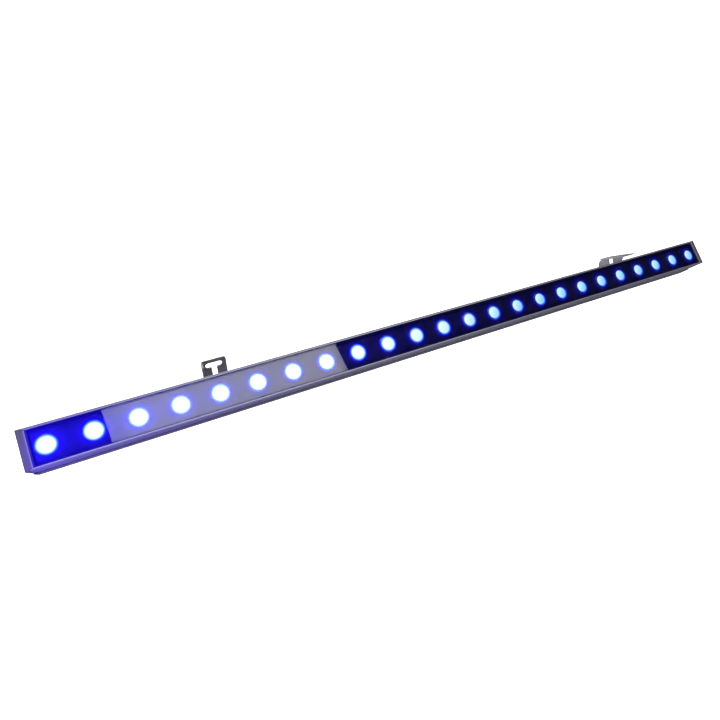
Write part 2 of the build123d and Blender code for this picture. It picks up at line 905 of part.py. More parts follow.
save(make_gland_body(), "gland_body")
save(make_gland_seal(), "gland_seal")
save(make_gland_nut(), "gland_nut")
save(make_gland_locknut(), "gland_locknut")
save(make_vent(), "breather_vent")

for hand, side, distance, lean in zip(("left", "right"), (-1, 1), bracket_end_distance, bracket_lean):
    edge_x = side * (lamp_length / 2 - distance)
    save(make_bracket(edge_x, lean), "wall_bracket_" + hand)
    save(make_shoe(edge_x), "shoe_" + hand)
    save(make_channel_nut(edge_x), "channel_nut_" + hand)
    save(make_shoe_screws(edge_x), "shoe_screws_" + hand)
    save(make_pivot_bolt(edge_x), "pivot_bolt_" + hand)
    save(make_pivot_washer(edge_x), "pivot_washer_" + hand)
    save(make_friction_washer(edge_x), "friction_washer_" + hand)
    save(make_pivot_nut(edge_x), "pivot_nut_" + hand)
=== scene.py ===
from math import pi, radians

import bpy
import numpy as np
from mathutils import Matrix, Vector


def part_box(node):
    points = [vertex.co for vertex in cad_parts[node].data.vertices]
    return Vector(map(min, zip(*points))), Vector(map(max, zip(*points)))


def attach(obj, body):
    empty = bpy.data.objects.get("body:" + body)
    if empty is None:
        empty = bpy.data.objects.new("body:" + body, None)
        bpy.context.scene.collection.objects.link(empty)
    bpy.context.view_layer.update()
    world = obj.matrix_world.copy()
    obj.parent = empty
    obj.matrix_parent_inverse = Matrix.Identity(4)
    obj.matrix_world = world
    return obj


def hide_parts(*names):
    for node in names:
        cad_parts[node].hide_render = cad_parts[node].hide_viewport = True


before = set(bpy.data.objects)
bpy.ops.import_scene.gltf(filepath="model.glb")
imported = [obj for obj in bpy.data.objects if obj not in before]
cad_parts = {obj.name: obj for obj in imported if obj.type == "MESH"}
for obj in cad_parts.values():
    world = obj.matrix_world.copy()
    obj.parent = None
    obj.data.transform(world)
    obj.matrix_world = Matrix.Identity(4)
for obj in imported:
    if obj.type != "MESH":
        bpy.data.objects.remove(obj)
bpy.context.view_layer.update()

bl_info = {
    "name": "Wall washer looks",
    "version": (1, 0, 0),
    "blender": (4, 5, 0),
    "location": "3D View > Sidebar > Washer",
    "description": "Finishes for a linear wall washer with 24 lit lenses",
    "category": "Object",
}

MM = 0.001

HALF_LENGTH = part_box("end_cap_right")[1][0]
GLASS_LOW, GLASS_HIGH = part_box("front_glass")
LENS_LOW, LENS_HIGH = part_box("lenses")
MASK_LOW, MASK_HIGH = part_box("mask_plate")
HOUSING_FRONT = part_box("housing")[1][2]
LENS_COUNT = 24
LENS_PITCH = 2 * HALF_LENGTH / LENS_COUNT
LENS_RADIUS = (LENS_HIGH[1] - LENS_LOW[1]) / 2

# The bevels round the window and the caps' inner edges, where the lenses' light is painted on.
BEVEL_WIDTH = 1.0 * MM
BEVEL_DEPTH = 0.85 * MM
CAP_EDGE = 1.7 * MM
BEVEL_CREST = GLASS_HIGH[1] + BEVEL_WIDTH
BEVEL_FOOT = HOUSING_FRONT - BEVEL_DEPTH
CAP_CREST = GLASS_HIGH[0] + CAP_EDGE

SQUARE = np.array([[-1, -1, 0], [1, -1, 0], [1, 1, 0], [-1, 1, 0]])
ONE_FACE = np.array([[0, 1, 2, 3]])


def linear(hex_colour):
    """Turns an sRGB hex colour into Blender's linear colour."""
    channels = [int(hex_colour[i:i + 2], 16) / 255 for i in (1, 3, 5)]
    light = [c / 12.92 if c <= 0.04045 else ((c + 0.055) / 1.055) ** 2.4 for c in channels]
    return (*light, 1.0)


def fill_inputs(tree, node, inputs):
    """Fills a node's inputs from a dictionary by name, or from a tuple in their order.

    Each is a value, an sRGB hex colour, another node's output, or a node, whose first live output
    is then linked.
    """
    pairs = inputs.items() if isinstance(inputs, dict) else enumerate(inputs)
    for key, value in pairs:
        live = [socket for socket in node.inputs if socket.enabled and socket.name == key]
        socket = live[0] if live else node.inputs[key]
        if isinstance(value, bpy.types.Node):
            value = next(output for output in value.outputs if output.enabled)
        if isinstance(value, bpy.types.NodeSocket):
            tree.links.new(value, socket)
        else:
            socket.default_value = linear(value) if isinstance(value, str) else value


def add_node(tree, kind, inputs=(), stops=(), **settings):
    """Adds a shader node with its settings, its inputs and, on a colour ramp, its stops.

    The tuple of a Map Range is its value, from min, from max, to min and to max.
    """
    node = tree.nodes.new("ShaderNode" + kind)
    for name, value in settings.items():
        setattr(node, name, value)
    if stops:
        elements = node.color_ramp.elements
        while len(elements) < len(stops):
            elements.new(1.0)
        for element, (place, colour) in zip(elements, stops):
            element.position = place
            element.color = linear(colour)
    fill_inputs(tree, node, inputs)
    return node


def start_material(name, hex_colour, metallic, roughness, **sockets):
    """A new material with one Principled shader: the material, its tree and the shader.

    More of the shader's inputs are given by name, with an underscore for each space.
    """
    material = bpy.data.materials.new(name)
    material.use_nodes = True
    material.diffuse_color = linear(hex_colour)
    tree = material.node_tree
    tree.nodes.clear()
    basics = {"Base Color": hex_colour, "Metallic": metallic, "Roughness": roughness}
    more = {key.replace("_", " "): value for key, value in sockets.items()}
    shader = add_node(tree, "BsdfPrincipled", {**basics, **more})
    add_node(tree, "OutputMaterial", {"Surface": shader})
    return material, tree, shader


def grain(tree, place, size, stretch=(1, 1, 1), detail=3.0):
    """Noise whose spots are about size metres across, stretched along the axes as given."""
    scale = [1 / (size * factor) for factor in stretch]
    mapped = add_node(tree, "Mapping", {"Vector": place, "Scale": scale})
    return add_node(tree, "TexNoise", {"Vector": mapped, "Scale": 1.0, "Detail": detail})


def lens_offset(tree, place):
    """X in metres, and the offset in millimetres from the nearest lens's centre.

    The offset along the bar is X taken modulo the lens pitch, less half a pitch, so one formula
    serves all the lenses. The offset across it is Y.
    """
    x, y, _ = add_node(tree, "SeparateXYZ", (place,)).outputs
    from_end = add_node(tree, "Math", (x, HALF_LENGTH), operation="ADD")
    folded = add_node(tree, "Math", (from_end, LENS_PITCH), operation="MODULO")
    half_pitch = LENS_PITCH / (2 * MM)
    along = add_node(tree, "Math", (folded, 1 / MM, -half_pitch), operation="MULTIPLY_ADD")
    across = add_node(tree, "Math", (y, 1 / MM), operation="MULTIPLY")
    return x, along, across


def radius_share(tree, along, across, shift=0.0):
    """Distance from a lens's centre, moved by the shift in mm to +X and -Y, over the lens's radius."""
    offset = add_node(tree, "CombineXYZ", (along, across))
    centre = (shift, -shift, 0.0)
    distance = add_node(tree, "VectorMath", (offset, centre), operation="DISTANCE")
    return add_node(tree, "Math", (distance, LENS_RADIUS / MM), operation="DIVIDE")


def glow_along(tree, x):
    """Strength of the blue light inside, strong at the left end.

    It is glow_rest + glow_left x exp(-distance from the left end / glow_reach).
    """
    looks = bpy.context.scene.washer_light
    # Painted light: strength of blue emission painted along X, strong at the left end.
    from_end = add_node(tree, "Math", (x, HALF_LENGTH), operation="ADD")
    reaches = add_node(tree, "Math", (from_end, -looks.glow_reach), operation="DIVIDE")
    fall = add_node(tree, "Math", (reaches,), operation="EXPONENT")
    return add_node(tree, "Math", (fall, looks.glow_left, looks.glow_rest), operation="MULTIPLY_ADD")


def add_painted_lens_light(tree, shader, place, tone):
    """Colours the metal and silicone round the window with a tone, and with the lenses' light.

    All of this light and shade is painted, as emission and base colour. The bevels round the
    window get painted light, violet at the left end and dimmer and greyer to the right. The
    upright walls under them get painted shade, a near-black base colour, with the plate's painted
    blue glow. The rest of the front gets painted blue light that falls off from the left end, with
    the depth behind the front, on the end face and towards the wall side.
    """
    looks = bpy.context.scene.washer_light
    bevel_blend = 0.1 * MM
    end_face = 4 * MM
    wall_side_share = 0.3
    end_face_share = 0.45
    x, y, z = add_node(tree, "SeparateXYZ", (place,)).outputs
    off_middle = add_node(tree, "Math", (y,), operation="ABSOLUTE")
    off_centre = add_node(tree, "Math", (x,), operation="ABSOLUTE")
    near_side = add_node(tree, "Math", (off_middle, BEVEL_CREST), operation="LESS_THAN")
    near_end = add_node(tree, "Math", (off_centre, CAP_CREST), operation="LESS_THAN")
    inside = add_node(tree, "Math", (near_side, near_end), operation="MULTIPLY")
    bevel = add_node(tree, "MapRange", (z, BEVEL_FOOT - bevel_blend, BEVEL_FOOT, 0.0, 1.0))
    lit_edge = add_node(tree, "Math", (inside, bevel), operation="MULTIPLY")
    wall = add_node(tree, "Math", (inside, lit_edge), operation="SUBTRACT")
    # Painted light: emission colours for the lenses' light on the bevels and on the walls and front.
    edge_colour = add_node(
        tree,
        "ValToRGB",
        (add_node(tree, "MapRange", (x, -HALF_LENGTH, HALF_LENGTH, 0.0, 1.0)),),
        stops=(
            (0.0, "#7b62ec"),
            (0.08, "#8578d2"),
            (0.18, "#918aba"),
            (0.32, "#928fa9"),
            (0.5, "#84838f"),
            (0.7, "#636172"),
            (1.0, "#4a4852"),
        ),
    )
    height = add_node(tree, "MapRange", (z, 0.0, GLASS_HIGH[2], 0.0, looks.spill))
    sideways = add_node(tree, "MapRange", (y, 0.0, BEVEL_CREST, 1.0, wall_side_share))
    beyond_end = add_node(
        tree, "MapRange", (x, end_face - HALF_LENGTH, GLASS_LOW[0], end_face_share, 1.0)
    )
    on_front = add_node(tree, "Math", (height, sideways), operation="MULTIPLY")
    outside = add_node(tree, "Math", (on_front, beyond_end), operation="MULTIPLY")
    share = add_node(tree, "Mix", {"Factor": wall, "A": outside, "B": looks.wall_light})
    blue = add_node(tree, "Math", (glow_along(tree, x), share), operation="MULTIPLY")
    strength = add_node(tree, "Mix", {"Factor": lit_edge, "A": blue, "B": looks.lip_light})
    blue_colour = add_node(
        tree, "Mix", {"Factor": wall, "A": looks.spill_colour, "B": "#1c08ff"}, data_type="RGBA"
    )
    colour = add_node(
        tree, "Mix", {"Factor": lit_edge, "A": blue_colour, "B": edge_colour}, data_type="RGBA"
    )
    # Painted shade: the walls under the bevels get a near-black base colour.
    tone_with_painted_wall_shade = add_node(tree, "Mix", {"Factor": wall, "A": tone, "B": "#08070c"}, data_type="RGBA")
    fill_inputs(
        tree, shader, {"Base Color": tone_with_painted_wall_shade, "Emission Color": colour, "Emission Strength": strength}
    )


def anodised_aluminium():
    """Extruded aluminium, satin anodised: grey, softly glossy, with fine die lines along the bar.

    The lenses' light is painted on the lips' inner bevels, violet near the left end, and as a blue
    glow on the front. The die lines are drawn 0.35 mm wide, coarser than real ones, so that they show.
    """
    looks = bpy.context.scene.washer_finish
    material, tree, shader = start_material("anodised_aluminium", "#77777f", metallic=0.45, roughness=0.4)
    place = add_node(tree, "TexCoord").outputs["Object"]
    lines = grain(tree, place, size=0.35 * MM, stretch=(900, 1, 1))
    blotch = grain(tree, place, size=18 * MM, stretch=(3, 1, 1))
    lined = add_node(
        tree,
        "Mix",
        {"Factor": lines, "A": looks.aluminium_dark, "B": looks.aluminium_light},
        data_type="RGBA",
    )
    blotched = add_node(tree, "MapRange", {"Value": blotch, "To Min": 0.0, "To Max": 0.35})
    tone = add_node(tree, "Mix", {"Factor": blotched, "A": lined, "B": "#8a8a94"}, data_type="RGBA")
    rough = add_node(tree, "MapRange", {"Value": lines, "To Min": 0.32, "To Max": 0.5})
    bump = add_node(tree, "Bump", {"Height": lines, "Distance": 0.03 * MM, "Strength": 0.4})
    fill_inputs(tree, shader, {"Roughness": rough, "Normal": bump})
    # Painted light and shade: the lenses' light on the bevels and front, and shade on the walls.
    add_painted_lens_light(tree, shader, place, tone)
    return material


def coated_cap():
    """Die-cast end cap, powder coated grey: fine orange-peel grit, with the lenses' light painted on it."""
    material, tree, shader = start_material("powder_coat_grey", "#524f5a", metallic=0.1, roughness=0.5)
    place = add_node(tree, "TexCoord").outputs["Object"]
    grit = grain(tree, place, size=0.5 * MM)
    tone = add_node(tree, "Mix", {"Factor": grit, "A": "#47444f", "B": "#5d5a66"}, data_type="RGBA")
    bump = add_node(tree, "Bump", {"Height": grit, "Distance": 0.05 * MM, "Strength": 0.5})
    fill_inputs(tree, shader, {"Normal": bump})
    # Painted light and shade: the lenses' light as emission, and shade on the walls under the bevels.
    add_painted_lens_light(tree, shader, place, tone)
    return material


def coated_steel():
    """Pressed steel of the wall brackets, dark grey coat: satin, with rubbed, brighter patches."""
    looks = bpy.context.scene.washer_finish
    material, tree, shader = start_material("coated_steel", "#86848d", metallic=0.2, roughness=0.45)
    place = add_node(tree, "TexCoord").outputs["Object"]
    speckle = grain(tree, place, size=0.9 * MM)
    rubbed = grain(tree, place, size=7 * MM, detail=5.0)
    coat = add_node(
        tree,
        "Mix",
        {"Factor": speckle, "A": looks.steel_dark, "B": looks.steel_light},
        data_type="RGBA",
    )
    worn = add_node(
        tree, "MapRange", {"Value": rubbed, "From Min": 0.55, "From Max": 0.8, "To Max": 0.6}
    )
    tone = add_node(tree, "Mix", {"Factor": worn, "A": coat, "B": "#a3a3a5"}, data_type="RGBA")
    rough = add_node(tree, "MapRange", {"Value": rubbed, "To Min": 0.34, "To Max": 0.52})
    bump = add_node(tree, "Bump", {"Height": speckle, "Distance": 0.04 * MM, "Strength": 0.45})
    fill_inputs(tree, shader, {"Base Color": tone, "Roughness": rough, "Normal": bump})
    return material


def zinc_steel():
    """Zinc-plated steel of screws, nuts and washers: bright grey metal with cloudy, faint yellow plating."""
    material, tree, shader = start_material("zinc_plated_steel", "#b4b3ad", metallic=1.0, roughness=0.3)
    place = add_node(tree, "TexCoord").outputs["Object"]
    cloud = grain(tree, place, size=2.5 * MM, detail=4.0)
    pits = grain(tree, place, size=0.3 * MM)
    tone = add_node(tree, "Mix", {"Factor": cloud, "A": "#9d9c98", "B": "#c3c1b4"}, data_type="RGBA")
    rough = add_node(tree, "MapRange", {"Value": cloud, "To Min": 0.22, "To Max": 0.42})
    bump = add_node(tree, "Bump", {"Height": pits, "Distance": 0.02 * MM, "Strength": 0.4})
    fill_inputs(tree, shader, {"Base Color": tone, "Roughness": rough, "Normal": bump})
    return material


def cast_zinc():
    """Die-cast zinc shoe: grainy, dull grey metal."""
    material, tree, shader = start_material("die_cast_zinc", "#6b6b6d", metallic=0.8, roughness=0.5)
    place = add_node(tree, "TexCoord").outputs["Object"]
    grit = grain(tree, place, size=0.8 * MM, detail=5.0)
    tone = add_node(tree, "Mix", {"Factor": grit, "A": "#58585b", "B": "#808083"}, data_type="RGBA")
    bump = add_node(tree, "Bump", {"Height": grit, "Distance": 0.08 * MM, "Strength": 0.6})
    fill_inputs(tree, shader, {"Base Color": tone, "Normal": bump})
    return material


def sheet_steel():
    """Galvanised sheet of the driver tray, with its spangle in facets 6 mm across."""
    facet_size = 6 * MM
    material, tree, shader = start_material("galvanised_sheet", "#a9adb0", metallic=0.9, roughness=0.38)
    place = add_node(tree, "TexCoord").outputs["Object"]
    spangle = add_node(tree, "TexVoronoi", {"Vector": place, "Scale": 1 / facet_size})
    facet = add_node(tree, "SeparateColor", {"Color": spangle.outputs["Color"]})
    tone = add_node(tree, "Mix", {"Factor": facet, "A": "#999da1", "B": "#b9bdbf"}, data_type="RGBA")
    fill_inputs(tree, shader, {"Base Color": tone})
    return material


def moulded_plastic(name, dark, light, roughness):
    """Moulded plastic: even colour with the fine spark texture of its mould.

    The texture is drawn 0.45 mm across, coarser than a real one, so that it shows.
    """
    material, tree, shader = start_material(name, light, metallic=0.0, roughness=roughness)
    place = add_node(tree, "TexCoord").outputs["Object"]
    spark = grain(tree, place, size=0.45 * MM)
    tone = add_node(tree, "Mix", {"Factor": spark, "A": dark, "B": light}, data_type="RGBA")
    bump = add_node(tree, "Bump", {"Height": spark, "Distance": 0.04 * MM, "Strength": 0.5})
    fill_inputs(tree, shader, {"Base Color": tone, "Normal": bump})
    return material


def solder_mask(name, dark, light):
    """Lacquered circuit board: semi-gloss coat over faint tracks, in rows 3.5 mm apart.

    One unit of the pattern holds four rows.
    """
    row_height = 3.5 * MM
    pattern_unit = 4 * row_height
    material, tree, shader = start_material(name, light, metallic=0.0, roughness=0.32, Coat_Weight=0.4)
    place = add_node(tree, "TexCoord").outputs["Object"]
    colours = {"Color1": light, "Color2": light, "Mortar": dark}
    tracks = add_node(tree, "TexBrick", {"Vector": place, "Scale": 1 / pattern_unit, **colours})
    fill_inputs(tree, shader, {"Base Color": tracks})
    return material


def toughened_glass():
    """Toughened soda-lime glass: clear, polished and very slightly wavy from its quench."""
    material, tree, shader = start_material(
        "toughened_glass",
        "#f7f9ff",
        metallic=0.0,
        roughness=0.0,
        Transmission_Weight=1.0,
        IOR=1.52,
    )
    place = add_node(tree, "TexCoord").outputs["Object"]
    wave = grain(tree, place, size=60 * MM, detail=1.0)
    bump = add_node(tree, "Bump", {"Height": wave, "Distance": 0.02 * MM, "Strength": 0.25})
    fill_inputs(tree, shader, {"Normal": bump})
    return material


def silicone_with_painted_light():
    """Grey silicone of the glass's seal and bead, with the lenses' faint light painted on it."""
    material, tree, shader = start_material("grey_silicone", "#4a4954", metallic=0.0, roughness=0.5)
    place = add_node(tree, "TexCoord").outputs["Object"]
    bubble = grain(tree, place, size=0.5 * MM)
    tone = add_node(tree, "Mix", {"Factor": bubble, "A": "#45444e", "B": "#54535e"}, data_type="RGBA")
    # Painted light and shade: the lenses' light as emission, and shade on the walls under the bevels.
    add_painted_lens_light(tree, shader, place, tone)
    return material


def painted_glow_mask():
    """Black painted plate behind the glass, lit blue by the lenses: a ring of light round each one.

    The lenses' light on the plate is painted on as emission. The ring is halo_strength x
    exp(-distance past the lens's edge / halo_reach). The glow along the bar is raised by a ring three
    times as wide, and dimmed by the square of the distance from the plate's middle line.
    """
    looks = bpy.context.scene.washer_light
    material, tree, shader = start_material(
        "black_lacquer_painted_glow",
        "#07060c",
        metallic=0.0,
        roughness=0.6,
        Specular_IOR_Level=0.2,
        Emission_Color="#1c06ff",
    )
    radius = LENS_RADIUS / MM
    wide_reach = 3 * looks.halo_reach
    edge_loss = 0.45
    half_width = MASK_HIGH[1] / MM
    place = add_node(tree, "TexCoord").outputs["Object"]
    x, along, across = lens_offset(tree, place)
    speck = grain(tree, place, size=0.6 * MM)
    tone = add_node(tree, "Mix", {"Factor": speck, "A": "#020106", "B": "#06050b"}, data_type="RGBA")
    # Painted light from here on: emission rings round the lenses and a blue glow along the bar.
    share = radius_share(tree, along, across)
    beyond = add_node(tree, "Math", (share, radius, -radius), operation="MULTIPLY_ADD")
    reaches = add_node(tree, "Math", (beyond, -looks.halo_reach), operation="DIVIDE")
    ring = add_node(tree, "Math", (reaches,), operation="EXPONENT")
    halo = add_node(tree, "Math", (ring, looks.halo_strength), operation="MULTIPLY")
    wide_reaches = add_node(tree, "Math", (beyond, -wide_reach), operation="DIVIDE")
    wide_ring = add_node(tree, "Math", (wide_reaches,), operation="EXPONENT")
    raised = add_node(tree, "Math", (wide_ring, looks.near_halo, 1.0), operation="MULTIPLY_ADD")
    square = add_node(tree, "Math", (across, across), operation="MULTIPLY")
    dim = add_node(tree, "Math", (square, -edge_loss / half_width**2, 1.0), operation="MULTIPLY_ADD")
    glow = add_node(tree, "Math", (glow_along(tree, x), raised), operation="MULTIPLY")
    strength = add_node(tree, "Math", (glow, dim, halo), operation="MULTIPLY_ADD")
    fill_inputs(tree, shader, {"Base Color": tone, "Emission Strength": strength})
    return material


def lit_lens():
    """Clear acrylic collimator with its emitter lit: white and hot in the middle, blue at the rim.

    Towards the right end the lenses are seen ever more off their axes, and that look is painted into
    the emission colour along X. There each one shows a pale disc with faint rings, bluer towards +X
    and -Y, over a blue tail that lies further the same way.
    """
    looks = bpy.context.scene.washer_light
    material, tree, shader = start_material("acrylic_lens_lit", "#10141f", metallic=0.0, roughness=0.08)
    ripple_turns = 2 * pi * LENS_RADIUS / MM / looks.ripple_pitch
    ripple_share = 0.2
    disc_blend = 0.14
    lean_across = -0.5
    place = add_node(tree, "TexCoord").outputs["Object"]
    x, along, across = lens_offset(tree, place)
    share = radius_share(tree, along, across)
    near = add_node(
        tree,
        "ValToRGB",
        (share,),
        stops=(
            (0.0, "#ffffff"),
            (0.64, "#ffffff"),
            (0.74, "#d4fbff"),
            (0.83, "#62b4ff"),
            (0.93, "#2c40ff"),
            (1.0, "#2420ff"),
        ),
    )
    # Painted shade: the far disc turns bluer towards +X and -Y, standing in for the off-axis view.
    lean = add_node(tree, "Math", (across, lean_across, along), operation="MULTIPLY_ADD")
    shaded = add_node(
        tree, "MapRange", (lean, -looks.lens_lean_start, looks.lens_lean_end, 0.0, 1.0)
    )
    turn = add_node(tree, "Math", (share, ripple_turns), operation="MULTIPLY")
    ripple = add_node(tree, "Math", (turn,), operation="SINE")
    ring_share = add_node(tree, "MapRange", (ripple, -1.0, 1.0, 0.0, ripple_share))
    disc = add_node(tree, "Mix", {"Factor": shaded, "A": "#d2fdff", "B": "#5fb2ff"}, data_type="RGBA")
    ringed = add_node(tree, "Mix", {"Factor": ring_share, "A": disc, "B": "#4a86ff"}, data_type="RGBA")
    from_disc = radius_share(tree, along, across, looks.disc_shift)
    disc_share = add_node(
        tree, "MapRange", (from_disc, looks.disc_edge, looks.disc_edge + disc_blend, 1.0, 0.0)
    )
    tail = add_node(
        tree,
        "ValToRGB",
        (radius_share(tree, along, across, looks.tail_shift),),
        stops=((0.0, "#3470ec"), (0.6, "#2450de"), (0.85, "#1220b4"), (1.0, "#080a60")),
    )
    far = add_node(tree, "Mix", {"Factor": disc_share, "A": tail, "B": ringed}, data_type="RGBA")
    # The far lenses' painted off-axis look is blended in along X.
    far_share = add_node(tree, "MapRange", (x, looks.far_start, looks.far_end, 0.0, 1.0))
    colour = add_node(tree, "Mix", {"Factor": far_share, "A": near, "B": far}, data_type="RGBA")
    strength = looks.lens_strength
    fill_inputs(tree, shader, {"Emission Color": colour, "Emission Strength": strength})
    return material


def lathe(profile, places, turns):
    """Solids of revolution: each profile point (r, z) swept round Z, copied to each place.

    x = r cos a + place x, y = r sin a + place y, z = z, with a from 0 to a full turn.
    """
    rings = len(profile)
    angle = np.arange(turns) * 2 * pi / turns
    radius = profile[:, :1]
    x = radius * np.cos(angle)
    y = radius * np.sin(angle)
    z = np.repeat(profile[:, 1:], turns, axis=1)
    one = np.stack([x, y, z], axis=-1).reshape(-1, 3)
    ring, step = np.meshgrid(np.arange(rings - 1), np.arange(turns), indexing="ij")
    after = (step + 1) % turns
    quads = np.stack(
        [ring * turns + step, ring * turns + after, (ring + 1) * turns + after, (ring + 1) * turns + step],
        axis=-1,
    ).reshape(-1, 4)
    points = (one[None] + np.asarray(places)[:, None]).reshape(-1, 3)
    faces = (quads[None] + (np.arange(len(places)) * len(one))[:, None, None]).reshape(-1, 4)
    return points, faces


def framed_strip(corners, outward, profile):
    """A closed profile of points (out, up) carried round a closed path with mitred corners.

    Point = corner + out x outward direction, raised by up.
    """
    ring = corners[None] + profile[:, :1, None] * outward[None]
    ring[..., 2] += profile[:, 1:]
    points = ring.reshape(-1, 3)
    rows, columns = len(profile), len(corners)
    row, column = np.meshgrid(np.arange(rows), np.arange(columns), indexing="ij")
    next_row, next_column = (row + 1) % rows, (column + 1) % columns
    quads = np.stack(
        [
            row * columns + column,
            row * columns + next_column,
            next_row * columns + next_column,
            next_row * columns + column,
        ],
        axis=-1,
    ).reshape(-1, 4)
    return points, quads


def mesh_piece(name, points, faces, material, smooth_angle=40.0):
    """A new object at the origin from point and face arrays, with doubles merged and faces outwards."""
    mesh = bpy.data.meshes.new(name)
    mesh.from_pydata(points.tolist(), [], faces.tolist())
    piece = bpy.data.objects.new(name, mesh)
    bpy.context.scene.collection.objects.link(piece)
    bpy.ops.object.select_all(action="DESELECT")
    piece.select_set(True)
    bpy.context.view_layer.objects.active = piece
    bpy.ops.object.mode_set(mode="EDIT")
    bpy.ops.mesh.select_all(action="SELECT")
    bpy.ops.mesh.remove_doubles(threshold=0.001 * MM)
    bpy.ops.mesh.normals_make_consistent(inside=False)
    bpy.ops.object.mode_set(mode="OBJECT")
    bpy.ops.object.shade_smooth_by_angle(angle=radians(smooth_angle))
    mesh.materials.append(material)
    return piece


def dress(node, material):
    """Gives a CAD node its material."""
    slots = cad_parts[node].material_slots
    if not slots:
        raise RuntimeError("no material slot on " + node)
    for slot in slots:
        slot.material = material


class WasherLight(bpy.types.PropertyGroup):
    """Light of the lenses, and how it falls on the inside."""

    # Besides the lens strength, these settings set painted light: emission on the plate and the metal.
    lens_strength: bpy.props.FloatProperty(
        name="Lens strength", description="Emission of a lens", default=1.3, min=0.0
    )
    glow_left: bpy.props.FloatProperty(
        name="Glow at the left", description="Blue light on the plate at the left end", default=0.85
    )
    glow_rest: bpy.props.FloatProperty(
        name="Glow elsewhere", description="Blue light on the plate far from the left end", default=0.02
    )
    glow_reach: bpy.props.FloatProperty(
        name="Glow reach", description="Length over which the glow falls to about a third", default=0.13,
        subtype="DISTANCE", unit="LENGTH",
    )
    halo_strength: bpy.props.FloatProperty(
        name="Halo strength", description="Blue light on the plate at a lens's edge", default=0.33
    )
    halo_reach: bpy.props.FloatProperty(
        name="Halo reach", description="Width of the ring of light round a lens, in mm", default=1.8
    )
    near_halo: bpy.props.FloatProperty(
        name="Wide halo", description="Wide ring of light, as a share of the glow there", default=1.0
    )
    lip_light: bpy.props.FloatProperty(
        name="Lip light", description="Light on the bevels round the window", default=0.85
    )
    wall_light: bpy.props.FloatProperty(
        name="Wall light", description="Blue light on the walls under the bevels, as a share of the glow",
        default=0.55,
    )
    spill: bpy.props.FloatProperty(
        name="Spill", description="Blue light on the outer metal, as a share of the glow", default=0.7
    )
    spill_colour: bpy.props.StringProperty(
        name="Spill colour", description="Colour of the light on the metal, as sRGB hex", default="#4a18ff"
    )
    # Shade start and Shade end set the painted shade across a far lens's disc.
    lens_lean_start: bpy.props.FloatProperty(
        name="Shade start", description="How far before its middle a far lens starts to turn bluer, in mm",
        default=7.0,
    )
    lens_lean_end: bpy.props.FloatProperty(
        name="Shade end", description="How far past its middle a far lens is at its bluest, in mm",
        default=12.0,
    )
    disc_edge: bpy.props.FloatProperty(
        name="Disc edge", description="Where the bright disc of a far lens ends, as a share of its radius",
        default=0.66,
    )
    disc_shift: bpy.props.FloatProperty(
        name="Disc shift", description="How far the bright disc is off a far lens's centre, in mm",
        default=0.4,
    )
    tail_shift: bpy.props.FloatProperty(
        name="Tail shift", description="How far the blue behind a far disc is off its centre, in mm",
        default=1.8,
    )
    ripple_pitch: bpy.props.FloatProperty(
        name="Ripple pitch", description="Spacing of the rings in a lens, in mm", default=3.4
    )
    # Cool start and Cool end place the painted off-axis look of the far lenses along the bar.
    far_start: bpy.props.FloatProperty(
        name="Cool start", description="Where along the bar the lenses start to look cooler", default=-0.22,
        subtype="DISTANCE", unit="LENGTH",
    )
    far_end: bpy.props.FloatProperty(
        name="Cool end", description="Where along the bar the lenses look fully cool", default=0.12,
        subtype="DISTANCE", unit="LENGTH",
    )


class WasherFinish(bpy.types.PropertyGroup):
    """Colours of the metal parts, as sRGB hex."""

    aluminium_dark: bpy.props.StringProperty(
        name="Aluminium, dark", description="Darker die lines", default="#65656f"
    )
    aluminium_light: bpy.props.StringProperty(
        name="Aluminium, light", description="Lighter die lines", default="#83838d"
    )
    steel_dark: bpy.props.StringProperty(
        name="Bracket, dark", description="Darker specks of the coat", default="#737079"
    )
    steel_light: bpy.props.StringProperty(
        name="Bracket, light", description="Lighter specks of the coat", default="#918f98"
    )


class WasherStudio(bpy.types.PropertyGroup):
    """Studio floor, card and lights."""

    floor_drop: bpy.props.FloatProperty(
        name="Floor drop", description="Height of the lamp's rear face over the floor", default=0.32,
        subtype="DISTANCE", unit="LENGTH",
    )
    card_strength: bpy.props.FloatProperty(
        name="Card strength", description="Brightness of the card that the glass mirrors", default=1.36
    )
    key_power: bpy.props.FloatProperty(
        name="Key power", description="Power of the large soft light", default=27.0, unit="POWER"
    )
    fill_power: bpy.props.FloatProperty(
        name="Fill power", description="Power of the light from the other side", default=80.0, unit="POWER"
    )


